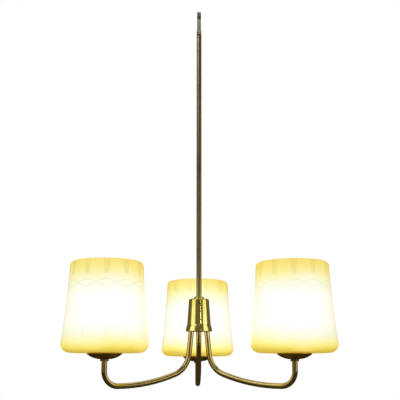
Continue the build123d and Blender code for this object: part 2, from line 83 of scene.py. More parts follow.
# ------------------------------------------------------------------ outlines
def bowed(start, end, bulge, steps):
    """Points after start and up to end on a round arc that stands bulge off the straight line."""
    (x0, y0), (x1, y1) = start, end
    half = hypot(x1 - x0, y1 - y0) / 2
    radius = (half * half + bulge * bulge) / (2 * bulge)
    ux, uy = (x1 - x0) / (2 * half), (y1 - y0) / (2 * half)
    cx = (x0 + x1) / 2 - uy * (radius - bulge)
    cy = (y0 + y1) / 2 + ux * (radius - bulge)
    sweep = atan(half / abs(radius - bulge))
    points = []
    for step in range(1, steps + 1):
        turn = -sweep + 2 * sweep * step / steps
        along, off = sin(turn) * abs(radius), cos(turn) * radius
        points.append((cx + ux * along + uy * off, cy + uy * along - ux * off))
    return points


def arc(centre, radius, start, end, steps):
    """Points on a circle of the outline's plane, from one angle to another in degrees."""
    turns = [radians(start + (end - start) * step / steps) for step in range(steps + 1)]
    return [(centre[0] + radius * cos(turn), centre[1] + radius * sin(turn)) for turn in turns]


def climb(radius, low, high, step):
    """Wall points from one height up to another, close enough together to carry a thread."""
    count = round((high - low) / step)
    return [(radius, low + (high - low) * i / count) for i in range(count + 1)]


# ------------------------------------------------------------------ mesh makers
MERGE_DISTANCE = 1e-6
TUBE_SIDES = 40
TUBE_SMOOTH_ANGLE = 50.0


def finish_mesh(name, bm, material, smooth_angle=35.0):
    """Closes and cleans a mesh, faces it outwards, marks its sharp edges and makes its object."""
    bmesh.ops.remove_doubles(bm, verts=bm.verts, dist=MERGE_DISTANCE)
    stray = [edge for edge in bm.edges if not edge.link_faces]
    bmesh.ops.delete(bm, geom=stray, context="EDGES")
    bmesh.ops.recalc_face_normals(bm, faces=bm.faces)
    sharp = radians(smooth_angle)
    for face in bm.faces:
        face.smooth = True
    for edge in bm.edges:
        if len(edge.link_faces) == 2 and edge.calc_face_angle() > sharp:
            edge.smooth = False
    mesh = bpy.data.meshes.new(name)
    bm.to_mesh(mesh)
    bm.free()
    mesh.materials.append(material)
    piece = bpy.data.objects.new(name, mesh)
    bpy.context.scene.collection.objects.link(piece)
    shading = piece.modifiers.new("even_shading", "WEIGHTED_NORMAL")
    shading.keep_sharp = True
    return piece


def draw_outline(bm, corners, centre):
    """Closed wire of (radius, height) or (radius, height, rounding) corners beside an axis."""
    verts = [
        bm.verts.new((centre.x + corner[0] * MM, centre.y, HUB_RIM + corner[1] * MM))
        for corner in corners
    ]
    bm.faces.new(verts)
    for vert, corner in zip(verts, corners):
        if len(corner) < 3:
            continue
        rounding = corner[2]
        legs = [edge.other_vert(vert).co - vert.co for edge in vert.link_edges]
        reach = rounding * MM / tan(legs[0].angle(legs[1]) / 2)
        bmesh.ops.bevel(
            bm, geom=[vert], offset=reach, offset_type="OFFSET", segments=3 + int(rounding),
            profile=0.5, affect="VERTICES", material=-1,
        )
    bmesh.ops.delete(bm, geom=bm.faces[:], context="FACES_ONLY")


def turned(name, corners, centre, material, steps=96):
    """Lathe-turned piece: a closed outline spun about the upright line at centre."""
    bm = bmesh.new()
    draw_outline(bm, corners, centre)
    bmesh.ops.spin(
        bm, geom=bm.verts[:] + bm.edges[:], cent=(centre.x, centre.y, 0), axis=(0, 0, 1),
        angle=2 * pi, steps=steps, use_merge=True, use_duplicate=False,
    )
    return finish_mesh(name, bm, material)


def bent_tube(name, azimuth, path, material):
    """Tube that starts in the arm plate and goes down, bent on the way.

    The path lists ("straight", length) and ("bend", radius, degrees). The tube is bent in the
    plane of +X and then turned round the hub to its azimuth.
    """
    bm = bmesh.new()
    spot = Vector((ARM_CIRCLE_R * MM, 0, PLATE_TOP))
    bmesh.ops.create_circle(
        bm, segments=TUBE_SIDES, radius=TUBE_R * MM, matrix=Matrix.Translation(spot),
    )
    ring = bm.edges[:]
    heading = Vector((0, 0, -1))
    for move, *sizes in path:
        if move == "straight":
            step = heading * sizes[0] * MM
            made = bmesh.ops.extrude_edge_only(bm, edges=ring)["geom"]
            ends = {item for item in made if isinstance(item, bmesh.types.BMVert)}
            bmesh.ops.translate(bm, verts=list(ends), vec=step)
            edges = [item for item in made if isinstance(item, bmesh.types.BMEdge)]
            ring = [edge for edge in edges if ends.issuperset(edge.verts)]
            spot = spot + step
        else:
            radius, degrees = sizes[0] * MM, sizes[1]
            centre = spot + Vector((-heading.z, 0, heading.x)) * radius
            made = bmesh.ops.spin(
                bm, geom=ring, cent=centre, axis=(0, -1, 0), angle=radians(degrees),
                steps=max(8, int(degrees / 4)), use_merge=False, use_duplicate=False,
            )["geom_last"]
            ring = [item for item in made if isinstance(item, bmesh.types.BMEdge)]
            turn = Matrix.Rotation(-radians(degrees), 3, "Y")
            spot = centre + turn @ (spot - centre)
            heading = turn @ heading
    bmesh.ops.recalc_face_normals(bm, faces=bm.faces)
    bmesh.ops.solidify(bm, geom=bm.faces[:], thickness=TUBE_WALL * MM)
    bmesh.ops.rotate(
        bm, verts=bm.verts, cent=(0, 0, 0), matrix=Matrix.Rotation(radians(azimuth), 3, "Z"),
    )
    return finish_mesh(name, bm, material, TUBE_SMOOTH_ANGLE)


def cut_thread(piece, centre, low, high, pitch, depth, fade):
    """Rolls a round-bottomed thread into the outer wall between two heights in millimetres."""
    reaches = [hypot(v.co.x - centre.x, v.co.y - centre.y) for v in piece.data.vertices]
    wall = max(reaches) - 0.05 * MM
    for v, reach in zip(piece.data.vertices, reaches):
        x, y, z = v.co.x - centre.x, v.co.y - centre.y, (v.co.z - HUB_RIM) / MM
        if reach < wall or not low < z < high:
            continue
        wave = (1 - cos(2 * pi * z / pitch - atan2(y, x))) / 2
        ease = min(1.0, (z - low) / fade, (high - z) / fade)
        shrink = 1 - depth * MM * wave * ease / reach
        v.co.x, v.co.y = centre.x + x * shrink, centre.y + y * shrink


def settle(piece, body, node):
    """Hangs the piece on the body it moves with and hides the CAD node that it stands for."""
    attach(piece, body)
    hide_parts(node)


# ------------------------------------------------------------------ node helpers
class Shader:
    """A material and short ways to add its nodes."""

    def __init__(self, name):
        self.material = bpy.data.materials.new(name)
        self.material.use_nodes = True
        self.tree = self.material.node_tree
        self.bsdf = self.tree.nodes["Principled BSDF"]
        self.coords = self.tree.nodes.new("ShaderNodeTexCoord").outputs["Object"]

    def link(self, source, target):
        self.tree.links.new(source, target)

    def set(self, **values):
        """Sets the shader's own sockets, named with _ for a space."""
        for name, value in values.items():
            self.bsdf.inputs[name.replace("_", " ")].default_value = value

    def noise(self, scale, detail, roughness, coords=None):
        node = self.tree.nodes.new("ShaderNodeTexNoise")
        node.inputs["Scale"].default_value = scale
        node.inputs["Detail"].default_value = detail
        node.inputs["Roughness"].default_value = roughness
        self.link(coords or self.coords, node.inputs["Vector"])
        return node.outputs["Fac"]

    def mapping(self, setting, value):
        node = self.tree.nodes.new("ShaderNodeMapping")
        node.inputs[setting].default_value = value
        self.link(self.coords, node.inputs["Vector"])
        return node.outputs["Vector"]

    def stretch(self, scale):
        """Coordinates that draw a pattern out, the more the smaller the number."""
        return self.mapping("Scale", scale)

    def centred(self, centre):
        """Coordinates with their origin at a point of the scene."""
        return self.mapping("Location", tuple(-place for place in centre))

    def math(self, operation, a, b=None, c=None):
        node = self.tree.nodes.new("ShaderNodeMath")
        node.operation = operation
        for socket, value in zip(node.inputs, (a, b, c)):
            if value is None:
                continue
            if isinstance(value, (int, float)):
                socket.default_value = value
            else:
                self.link(value, socket)
        return node.outputs[0]

    def spread(self, value, low, high, to_low, to_high, smooth=False):
        """Maps one range onto another, clamped at its ends."""
        node = self.tree.nodes.new("ShaderNodeMapRange")
        if smooth:
            node.interpolation_type = "SMOOTHSTEP"
        ends = {"From Min": low, "From Max": high, "To Min": to_low, "To Max": to_high}
        for name, number in ends.items():
            node.inputs[name].default_value = number
        self.link(value, node.inputs["Value"])
        return node.outputs["Result"]

    def vary(self, noise, low, high):
        """A value that a noise moves from low to high over its usual range."""
        return self.spread(noise, 0.3, 0.7, low, high)

    def band(self, value, start, full, fall, end):
        """1 between full and fall, running out to 0 at start and end."""
        rise = self.spread(value, start, full, 0.0, 1.0)
        return self.math("MULTIPLY", rise, self.spread(value, fall, end, 1.0, 0.0))

    def ramp(self, value, stops):
        node = self.tree.nodes.new("ShaderNodeValToRGB")
        elements = node.color_ramp.elements
        while len(elements) < len(stops):
            elements.new(0.5)
        for element, (place, colour) in zip(elements, stops):
            element.position = place
            element.color = (*colour, 1.0)
        self.link(value, node.inputs["Fac"])
        return node.outputs["Color"]

    def mix(self, factor, a, b):
        node = self.tree.nodes.new("ShaderNodeMix")
        node.data_type = "RGBA"
        self.link(factor, node.inputs[0])
        for socket, value in ((node.inputs[6], a), (node.inputs[7], b)):
            if isinstance(value, tuple):
                socket.default_value = (*value, 1.0)
            else:
                self.link(value, socket)
        return node.outputs[2]

    def bump(self, height, strength, distance):
        node = self.tree.nodes.new("ShaderNodeBump")
        node.inputs["Strength"].default_value = strength
        node.inputs["Distance"].default_value = distance
        self.link(height, node.inputs["Height"])
        self.link(node.outputs["Normal"], self.bsdf.inputs["Normal"])

    def colour(self, source):
        self.link(source, self.bsdf.inputs["Base Color"])

    def rough(self, source):
        self.link(source, self.bsdf.inputs["Roughness"])

    def glow(self, source):
        self.link(source, self.bsdf.inputs["Emission Color"])


# ------------------------------------------------------------------ metals and mouldings
POLISH_BUMP = (0.05, 0.0002)


def polished_brass(name, along, tones, spot, dull):
    """Polished brass: warm lacquer patches, fine polishing lines, duller spots."""
    s = Shader(name)
    s.set(Metallic=1.0)
    patches = s.noise(22.0, 4.0, 0.6)
    specks = s.noise(260.0, 3.0, 0.7)
    lines = s.noise(500.0, 2.0, 0.6, coords=s.stretch(along))
    tone = s.ramp(patches, list(zip((0.32, 0.55, 0.75), tones)))
    s.colour(s.mix(s.spread(specks, 0.62, 0.75, 0.0, 0.45, smooth=True), tone, spot))
    wear = s.math("ADD", s.vary(patches, dull + 0.07, dull), s.spread(specks, 0.55, 0.8, 0.0, 0.10))
    s.rough(s.math("ADD", wear, s.vary(lines, 0.0, 0.05)))
    s.bump(s.math("ADD", lines, s.math("MULTIPLY", specks, 0.5)), *POLISH_BUMP)
    return s.material


def aged_brass(name, tones, spot):
    """Rod brass that was never repolished: olive brown, with a worn clear lacquer."""
    s = Shader(name)
    s.set(Metallic=1.0, Coat_Weight=0.35, Coat_Roughness=0.12)
    patches = s.noise(30.0, 4.0, 0.6, coords=s.stretch((1.0, 1.0, 0.25)))
    specks = s.noise(340.0, 3.0, 0.7)
    lines = s.noise(500.0, 2.0, 0.6, coords=s.stretch((1.0, 1.0, 0.05)))
    tone = s.ramp(patches, list(zip((0.30, 0.55, 0.76), tones)))
    s.colour(s.mix(s.spread(specks, 0.62, 0.75, 0.0, 0.5, smooth=True), tone, spot))
    s.rough(s.math("ADD", s.vary(patches, 0.36, 0.26), s.vary(lines, 0.0, 0.06)))
    s.bump(s.math("ADD", lines, s.math("MULTIPLY", specks, 0.5)), *POLISH_BUMP)
    return s.material


def turned_brass(name, tones):
    """Unpolished inner brass: turning lines and a brown bloom."""
    s = Shader(name)
    s.set(Metallic=1.0)
    bloom = s.noise(70.0, 5.0, 0.65)
    s.colour(s.ramp(bloom, list(zip((0.3, 0.6, 0.8), tones))))
    s.rough(s.vary(bloom, 0.42, 0.26))
    s.bump(s.noise(300.0, 2.0, 0.5, coords=s.stretch((0.2, 0.2, 6.0))), 0.25, 0.0003)
    return s.material


def plated_steel(name, light, dark, rough_low, rough_high):
    """Plated or blackened metal with a haze and a fine grain."""
    s = Shader(name)
    s.set(Metallic=1.0)
    haze = s.noise(120.0, 4.0, 0.6)
    s.colour(s.ramp(haze, [(0.35, dark), (0.62, light)]))
    s.rough(s.vary(haze, rough_high, rough_low))
    s.bump(s.noise(900.0, 2.0, 0.6), 0.12, 0.0002)
    return s.material


def moulded(name, light, dark, rough, grain):
    """Moulded plastic or glazed porcelain with a faint mottle."""
    s = Shader(name)
    s.colour(s.ramp(s.noise(90.0, 3.0, 0.5), [(0.3, dark), (0.7, light)]))
    s.rough(s.vary(s.noise(340.0, 2.0, 0.5), rough, rough + 0.1))
    s.bump(s.noise(grain, 2.0, 0.5), 0.1, 0.0002)
    return s.material


# ------------------------------------------------------------------ glass
SHADE_LOW, SHADE_TOP = -42.0, 118.0
SHADE_LOW_R, SHADE_TOP_R, SHADE_BELLY = 79.4, 65.9, 1.85

# Painted glow of the glass, standing in for the bulb's light through it, from the shade's foot (0)
# to its mouth (1): white where the bulb stands.
SHADE_GLOW = [
    (0.015, (0.62, 0.49, 0.09)), (0.05, (0.76, 0.66, 0.17)), (0.10, (0.76, 0.745, 0.38)),
    (0.16, (0.75, 0.77, 0.66)), (0.22, (0.74, 0.79, 0.83)), (0.30, (0.80, 0.83, 1.0)),
    (0.60, (0.80, 0.83, 1.0)), (0.68, (0.75, 0.79, 0.84)), (0.745, (0.74, 0.78, 0.74)),
    (0.805, (0.73, 0.735, 0.52)), (0.87, (0.72, 0.68, 0.32)), (0.93, (0.71, 0.62, 0.22)),
    (0.985, (0.69, 0.57, 0.17)),
]
SHADE_GLOW_STRENGTH, INSIDE_GLOW_STRENGTH = 1.27, 0.42
GLOW_DRIFT = 11.0

# Fine line border, in heights and in shares of a lens's width round the shade.
LENSES = 12
CHAIN_HEIGHT, CHAIN_SWING = 75.0, 5.5
SHEAF_LOW, SHEAF_GAPS = 90.0, (0.072, 0.135)
DASH_GAP = 0.055
UPPER_DASHES, FOOT_DASHES = (48.0, 52.0, 62.0, 66.0), (-16.0, -12.0, -3.0, 1.0)
CHAIN_INK, SHEAF_INK, DASH_INK = 0.25, 0.65, 0.13
PATTERN_TURN = {"left": 8.7, "right": -9.2, "back": 0.0}
PATTERN_DEPTH = {"left": 1.0, "right": 0.8, "back": 0.7}


def lens_chain(s, angle, height):
    """Two waves that cross and make a chain of lens shapes round the shade."""
    swing = s.math("ABSOLUTE", s.math("SINE", s.math("MULTIPLY", angle, LENSES / 2)))
    wave = s.math("MULTIPLY", swing, CHAIN_SWING)
    off = s.math("ABSOLUTE", s.math("SUBTRACT", height, CHAIN_HEIGHT))
    miss = s.math("ABSOLUTE", s.math("SUBTRACT", off, wave))
    return s.spread(miss, 0.35, 0.95, 1.0, 0.0, smooth=True)


def three_lines(s, cell, gap):
    """Distance to the nearest of three lines, in gaps, and 1 where a spot is among them."""
    lean = s.math("DIVIDE", cell, gap)
    nearest = s.math("ABSOLUTE", s.math("SUBTRACT", lean, s.math("ROUND", lean)))
    return nearest, s.math("LESS_THAN", s.math("ABSOLUTE", lean), 1.4)


def line_sheaves(s, cell, height):
    """Three lines over each lens, drawn together towards it."""
    gap = s.spread(height, SHEAF_LOW, SHADE_TOP, *SHEAF_GAPS)
    nearest, among = three_lines(s, cell, gap)
    line = s.spread(s.math("MULTIPLY", nearest, gap), 0.008, 0.020, 1.0, 0.0, smooth=True)
    above = s.spread(height, SHEAF_LOW - 2.0, SHEAF_LOW + 4.0, 0.0, 1.0)
    return s.math("MULTIPLY", s.math("MULTIPLY", line, among), above)


def short_dashes(s, cell, height):
    """Three short lines under each lens, and again near the shade's foot."""
    nearest, among = three_lines(s, cell, DASH_GAP)
    line = s.spread(nearest, 0.12, 0.30, 1.0, 0.0, smooth=True)
    rows = s.math("MAXIMUM", s.band(height, *UPPER_DASHES), s.band(height, *FOOT_DASHES))
    return s.math("MULTIPLY", s.math("MULTIPLY", line, among), rows)


def opal_glass(arm):
    """Pale yellow opal glass with a painted glow for the light of the bulb inside, and its fine
    line border.
    """
    s = Shader(f"opal_glass_{arm}")
    split = s.tree.nodes.new("ShaderNodeSeparateXYZ")
    s.link(s.centred(arm_axis(arm)), split.inputs[0])
    height = s.math("MULTIPLY", split.outputs["Z"], 1 / MM)
    around = s.math("ARCTAN2", split.outputs["Y"], split.outputs["X"])
    angle = s.math("ADD", around, radians(PATTERN_TURN[arm]))
    turn = s.math("DIVIDE", s.math("MULTIPLY", angle, LENSES), 2 * pi)
    cell = s.math("SUBTRACT", s.math("FRACT", s.math("ADD", turn, 20.0)), 0.5)

    # The painted glow's bands drift up and down with a noise.
    drift = s.math("MULTIPLY_ADD", s.noise(14.0, 2.0, 0.5), 2 * GLOW_DRIFT, -GLOW_DRIFT)
    level = s.spread(s.math("ADD", height, drift), SHADE_LOW, SHADE_TOP, 0.0, 1.0)
    light = s.ramp(level, SHADE_GLOW)

    chain = lens_chain(s, angle, height)
    sheaf = line_sheaves(s, cell, height)
    dashes = short_dashes(s, cell, height)
    ink = s.math("ADD", s.math("MULTIPLY", chain, CHAIN_INK), s.math("MULTIPLY", sheaf, SHEAF_INK))
    ink = s.math("ADD", ink, s.math("MULTIPLY", dashes, DASH_INK))
    ink = s.math("MULTIPLY", ink, PATTERN_DEPTH[arm])

    # Emission: the painted glow, darker where the border is printed.
    s.glow(s.mix(ink, light, (0.40, 0.32, 0.08)))
    s.colour(s.mix(ink, (0.55, 0.48, 0.24), (0.34, 0.26, 0.08)))
    s.set(Emission_Strength=SHADE_GLOW_STRENGTH, Specular_IOR_Level=0.25)
    s.set(Coat_Weight=1.0, Coat_Roughness=0.35, Coat_IOR=1.06, Coat_Tint=(0.96, 0.93, 0.80, 1.0))
    s.rough(s.vary(s.noise(60.0, 3.0, 0.6), 0.48, 0.60))
    relief = s.math("MULTIPLY", s.math("MAXIMUM", chain, sheaf), 0.2)
    s.bump(s.math("ADD", s.noise(25.0, 2.0, 0.5), relief), 0.08, 0.0008)
    return s.material


def opal_inside():
    """The shade's inner wall, smooth, with an even painted glow for its bulb's light."""
    s = Shader("opal_glass_inside")
    mottle = s.noise(40.0, 3.0, 0.5)
    tone = s.ramp(mottle, [(0.3, (0.78, 0.68, 0.32)), (0.7, (0.84, 0.75, 0.41))])
    s.colour(tone)
    # Painted glow, the same tone as the wall.
    s.glow(tone)
    s.set(Emission_Strength=INSIDE_GLOW_STRENGTH)
    s.rough(s.vary(mottle, 0.22, 0.32))
    s.bump(s.noise(25.0, 2.0, 0.5), 0.05, 0.0006)
    return s.material


def bulb_coating():
    """White powder coating inside a lit bulb's glass."""
    s = Shader("bulb_glass_white_coating")
    mottle = s.noise(60.0, 3.0, 0.5)
    s.colour(s.ramp(mottle, [(0.3, (0.93, 0.90, 0.82)), (0.7, (0.98, 0.96, 0.90))]))
    s.glow(s.ramp(mottle, [(0.3, (1.0, 0.90, 0.66)), (0.7, (1.0, 0.95, 0.78))]))
    s.link(s.vary(mottle, 1.5, 1.8), s.bsdf.inputs["Emission Strength"])
    s.rough(s.vary(mottle, 0.25, 0.35))
    return s.material


# ------------------------------------------------------------------ finishes
ALONG_TUBE, ROUND_BELL = (1.0, 1.0, 0.05), (0.15, 0.15, 3.0)
ARM_TONES = ((0.62, 0.47, 0.17), (0.76, 0.60, 0.23), (0.84, 0.69, 0.30))
CUP_TONES = ((0.44, 0.30, 0.08), (0.56, 0.40, 0.12), (0.64, 0.48, 0.17))
HUB_TONES = ((0.88, 0.75, 0.22), (0.95, 0.87, 0.30), (0.97, 0.91, 0.38))
ROD_TONES = ((0.32, 0.27, 0.15), (0.45, 0.39, 0.22), (0.56, 0.48, 0.28))
INNER_TONES = ((0.34, 0.22, 0.075), (0.58, 0.42, 0.16), (0.66, 0.5, 0.22))

ARM_BRASS = polished_brass("polished_brass_tube", ALONG_TUBE, ARM_TONES, (0.40, 0.29, 0.09), 0.12)
CUP_BRASS = polished_brass("polished_brass_dish", ROUND_BELL, CUP_TONES, (0.30, 0.20, 0.05), 0.28)
HUB_BRASS = polished_brass("polished_brass_bell", ROUND_BELL, HUB_TONES, (0.60, 0.46, 0.14), 0.07)
AGED_BRASS = aged_brass("aged_brass_rod", ROD_TONES, (0.18, 0.14, 0.07))
INNER_BRASS = turned_brass("turned_inner_brass", INNER_TONES)
NICKEL = plated_steel("dulled_nickel", (0.84, 0.82, 0.75), (0.62, 0.59, 0.52), 0.25, 0.42)
ZINC = plated_steel("zinc_plate", (0.66, 0.66, 0.63), (0.42, 0.42, 0.40), 0.3, 0.5)
BLACK_STEEL = plated_steel("blackened_steel", (0.10, 0.085, 0.07), (0.05, 0.045, 0.04), 0.35, 0.55)
CAP_METAL = plated_steel("bulb_cap_aluminium", (0.80, 0.80, 0.79), (0.60, 0.60, 0.59), 0.22, 0.38)
IVORY = moulded("ivory_moulding", (0.86, 0.82, 0.72), (0.80, 0.75, 0.63), 0.28, 500.0)
PORCELAIN = moulded("glazed_porcelain", (0.90, 0.89, 0.85), (0.84, 0.82, 0.77), 0.12, 200.0)
NATURAL_PLASTIC = moulded("terminal_plastic", (0.86, 0.85, 0.80), (0.78, 0.77, 0.71), 0.4, 700.0)
GOLD_FLEX = moulded("gold_flex", (0.72, 0.60, 0.28), (0.62, 0.50, 0.22), 0.32, 800.0)
COATING = bulb_coating()
OPAL_INSIDE = opal_inside()

FRAME_FINISHES = {
    "hanging_eye": NICKEL, "eye_screws": NICKEL, "rod_ferrule": AGED_BRASS,
    "cover_bush": INNER_BRASS, "cover_set_screw": BLACK_STEEL, "arm_plate": INNER_BRASS,
    "rod_nut": ZINC, "terminal_post": ZINC, "terminal_block": NATURAL_PLASTIC,
    "terminal_barrels": INNER_BRASS, "terminal_screws": ZINC,
}
ARM_FINISHES = {
    "holder_cap": IVORY, "shade_ring": IVORY, "holder_core": PORCELAIN,
    "socket_sleeve": INNER_BRASS, "socket_contact": INNER_BRASS, "lead": GOLD_FLEX,
}


def refinish(node, material):
    """Gives a carried-over CAD node its finish."""
    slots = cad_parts[node].data.materials
    slots.clear()
    slots.append(material)


for node, material in FRAME_FINISHES.items():
    refinish(node, material)
for arm in ARMS:
    for stem, material in ARM_FINISHES.items():
        refinish(f"{stem}_{arm}", material)


# ------------------------------------------------------------------ rod and hub
TUBE_R, TUBE_WALL = 5.0, 1.0
CLEARANCE_R = 5.3
BELL_WALL, BELL_TOP_R, BELL_TOP_ROUND = 0.8, 19.3, 2.6
WAIST_R, WAIST_HEIGHT = 22.6, 13.0
FLARE_R, FLARE_HEIGHT, FLARE_BOW, FLARE_LIP = 25.4, 1.2, 0.45, 0.1
DOME_R, DOME_EDGE, DOME_TOP_R, DOME_HEIGHT, DOME_BOW = 9.65, 2.2, 6.3, 5.0, 0.75


def make_rod():
    low, high = heights("hanging_rod")
    bore = TUBE_R - TUBE_WALL
    corners = [(bore, low), (TUBE_R, low, 0.3), (TUBE_R, high, 0.25), (bore, high)]
    return turned("rod_tube", corners, HUB_AXIS, AGED_BRASS, steps=64)


def make_hub_cover():
    """Thin bell: a narrow cone that flares out to its rim."""
    top = heights("hub_cover")[1]
    waist, flare = (WAIST_R, WAIST_HEIGHT), (FLARE_R, FLARE_HEIGHT)
    inner_waist = (WAIST_R - BELL_WALL, WAIST_HEIGHT)
    inner_flare = (FLARE_R - BELL_WALL, FLARE_HEIGHT)
    corners = [(CLEARANCE_R, top), (BELL_TOP_R, top, BELL_TOP_ROUND), waist]
    corners += bowed(waist, flare, -FLARE_BOW, 8)
    corners += [(FLARE_R + FLARE_LIP, 0.0, 0.35), (FLARE_R - BELL_WALL, 0.0, 0.3), inner_flare]
    corners += bowed(inner_flare, inner_waist, FLARE_BOW, 8)
    corners += [(BELL_TOP_R - BELL_WALL, top - BELL_WALL, BELL_TOP_ROUND - BELL_WALL)]
    corners += [(CLEARANCE_R, top - BELL_WALL)]
    return turned("hub_bell", corners, HUB_AXIS, HUB_BRASS, steps=128)


def make_collar_dome():
    low = heights("rod_collar")[0]
    edge, crown = (DOME_R, low + DOME_EDGE), (DOME_TOP_R, low + DOME_HEIGHT)
    corners = [(CLEARANCE_R, low), (DOME_R, low, 0.3), edge]
    corners += bowed(edge, crown, DOME_BOW, 8) + [(CLEARANCE_R, low + DOME_HEIGHT)]
    return turned("hub_collar_dome", corners, HUB_AXIS, HUB_BRASS, steps=64)


settle(make_rod(), "frame", "hanging_rod")
settle(make_hub_cover(), "cover", "hub_cover")
settle(make_collar_dome(), "cover", "rod_collar")

# ------------------------------------------------------------------ arms
ARM_CIRCLE_R = 17.1
SPLAY_R, SPLAY_TURN, SPLAY_Z = 60.0, 6.5, -1.5
SHOULDER_R, SHOULDER_Z = 45.0, -69.4
RUN_TURN = 20.0
HEEL_R = 26.5
RISER_TOP = -47.0

CUP_FOOT_R, CUP_R, CUP_WALL, CUP_LIP = 9.0, 31.0, 1.0, 2.0
CUP_BOW, CUP_INNER_BOW = 1.9, 1.8
CUP_COLLAR_R, CUP_COLLAR_ROUND = 7.8, 0.8


def arm_path(arm):
    """Straights and bends of the arm, from the plate down, out and up into the holder."""
    reach = Vector(arm_axis(arm).xy).length / MM
    splay, slope = radians(SPLAY_TURN), radians(RUN_TURN)
    shoulder_turn = radians(90) - splay - slope
    splay_reach, shoulder_reach = SPLAY_R * tan(splay / 2), SHOULDER_R * tan(shoulder_turn / 2)
    drop = SPLAY_Z - SHOULDER_Z
    shoulder_x = ARM_CIRCLE_R + drop * tan(splay)
    run = reach - shoulder_x - HEEL_R - shoulder_reach * cos(slope)
    run_reach = run / (1 + cos(slope))
    gap = 0.01 * run_reach
    heel_z = SHOULDER_Z - (shoulder_reach + run_reach) * sin(slope)
    return [
        ("straight", heights("arm_plate")[1] - SPLAY_Z - splay_reach),
        ("bend", SPLAY_R, SPLAY_TURN),
        ("straight", drop / cos(splay) - splay_reach - shoulder_reach),
        ("bend", SHOULDER_R, 90 - SPLAY_TURN - RUN_TURN),
        ("straight", gap),
        ("bend", (run_reach - gap) / tan(slope / 2), RUN_TURN),
        ("straight", gap),
        ("bend", HEEL_R, 90.0),
        ("straight", RISER_TOP - heel_z - HEEL_R),
    ]


def make_cup(arm):
    """Shallow spun dish with a short upright lip."""
    low, rim = heights(f"cup_{arm}")
    foot, lip = (CUP_FOOT_R, low), (CUP_R, rim - CUP_LIP)
    inner_r = CUP_R - CUP_WALL
    inner_foot, inner_lip = (CUP_FOOT_R, low + CUP_WALL), (inner_r, rim - CUP_LIP)
    corners = [(TUBE_R, low), foot] + bowed(foot, lip, CUP_BOW, 12)
    corners += [(CUP_R, rim, 0.35), (inner_r, rim, 0.35), inner_lip]
    corners += bowed(inner_lip, inner_foot, -CUP_INNER_BOW, 12) + [(TUBE_R, low + CUP_WALL)]
    return turned(f"cup_dish_{arm}", corners, arm_axis(arm), CUP_BRASS)


def make_cup_collar(arm):
    low, high = heights(f"arm_collar_{arm}")
    corners = [(TUBE_R, low), (CUP_COLLAR_R, low, CUP_COLLAR_ROUND)]
    corners += [(CUP_COLLAR_R, high, CUP_COLLAR_ROUND), (TUBE_R, high)]
    return turned(f"cup_collar_{arm}", corners, arm_axis(arm), CUP_BRASS, steps=64)


# ------------------------------------------------------------------ shades
GLASS_WALL, SHADE_HOLE_R, SHADE_MOUTH_R = 3.0, 21.0, 57.5
FOOT_ROUND, MOUTH_ROUND, LIP_ROUND = 16.0, 8.0, 1.3
LIP_DEPTH = 1.5


def make_shade(arm):
    """Blown opal shade: gently bellied side, round foot, rolled-in mouth."""
    inner_low_r, inner_top_r = SHADE_LOW_R - GLASS_WALL, SHADE_TOP_R - GLASS_WALL
    floor, ceiling = SHADE_LOW + GLASS_WALL, SHADE_TOP - GLASS_WALL
    side_low, side_top = SHADE_LOW + FOOT_ROUND + 2, SHADE_TOP - MOUTH_ROUND - 1
    outer = bowed((SHADE_TOP_R, SHADE_TOP), (SHADE_LOW_R, SHADE_LOW), SHADE_BELLY, 24)
    inner = bowed((inner_low_r, SHADE_LOW), (inner_top_r, SHADE_TOP), -SHADE_BELLY, 24)
    corners = [(SHADE_HOLE_R, SHADE_LOW, 0.8), (SHADE_HOLE_R, floor, 0.8)]
    corners += [(inner_low_r, floor, FOOT_ROUND - GLASS_WALL)]
    corners += [point for point in inner if side_low < point[1] < side_top]
    corners += [(inner_top_r, ceiling, MOUTH_ROUND - GLASS_WALL)]
    corners += [(SHADE_MOUTH_R, ceiling, LIP_ROUND), (SHADE_MOUTH_R, SHADE_TOP, LIP_ROUND)]
    corners += [(SHADE_TOP_R, SHADE_TOP, MOUTH_ROUND)]
    corners += [point for point in outer if side_low < point[1] < side_top]
    corners += [(SHADE_LOW_R, SHADE_LOW, FOOT_ROUND)]
    piece = turned(f"opal_shade_{arm}", corners, arm_axis(arm), opal_glass(arm), steps=128)
    give_inside(piece, arm_axis(arm) + Vector((0, 0, 0.02)), HUB_RIM + (SHADE_TOP - LIP_DEPTH) * MM)
    return piece


def give_inside(piece, heart, lip_height):
    """Gives the faces that look in towards the shade's heart the finish of its inner wall, with its
    weaker painted glow.
    """
    piece.data.materials.append(OPAL_INSIDE)
    for face in piece.data.polygons:
        if face.normal.dot(face.center - heart) < 0 and face.center.z < lip_height:
            face.material_index = 1


# ------------------------------------------------------------------ bulbs and lampholders
BULB_R, BULB_MIDDLE, NECK_R, NECK_CURVE_R, NECK_TURN = 30.0, 45.0, 13.0, 28.0, 45.0
CAP_R, CAP_THREAD_LOW, CAP_THREAD_HIGH = 13.1, -23.0, -4.0
CAP_TAPER, CONTACT_R, CONTACT_HEIGHT = (11.9, -24.2), 4.6, 1.2
CAP_PITCH, CAP_DEPTH, CAP_FADE = 3.6, 0.8, 1.2
HOLDER_R, HOLDER_BORE_R, HOLDER_MOUTH_R, HOLDER_LIP = 19.8, 17.8, 15.0, 2.0
HOLDER_PITCH, HOLDER_DEPTH, HOLDER_FADE = 2.5, 0.7, 1.5


def make_bulb(arm):
    """Blown envelope: a ball that runs into the neck in one hollow curve."""
    low, high = heights(f"bulb_glass_{arm}")
    turn = radians(NECK_TURN)
    joint_z = BULB_MIDDLE - BULB_R * sin(turn)
    neck_centre = (NECK_R + NECK_CURVE_R, joint_z - NECK_CURVE_R * sin(turn))
    ball = arc((0.0, BULB_MIDDLE), BULB_R, -NECK_TURN, 90.0, 30)
    neck = arc(neck_centre, NECK_CURVE_R, 180.0, 180.0 - NECK_TURN, 12)
    corners = [(0.0, low), (NECK_R, low)] + neck + ball[1:-1] + [(0.0, high)]
    return turned(f"bulb_envelope_{arm}", corners, arm_axis(arm), COATING, steps=64)


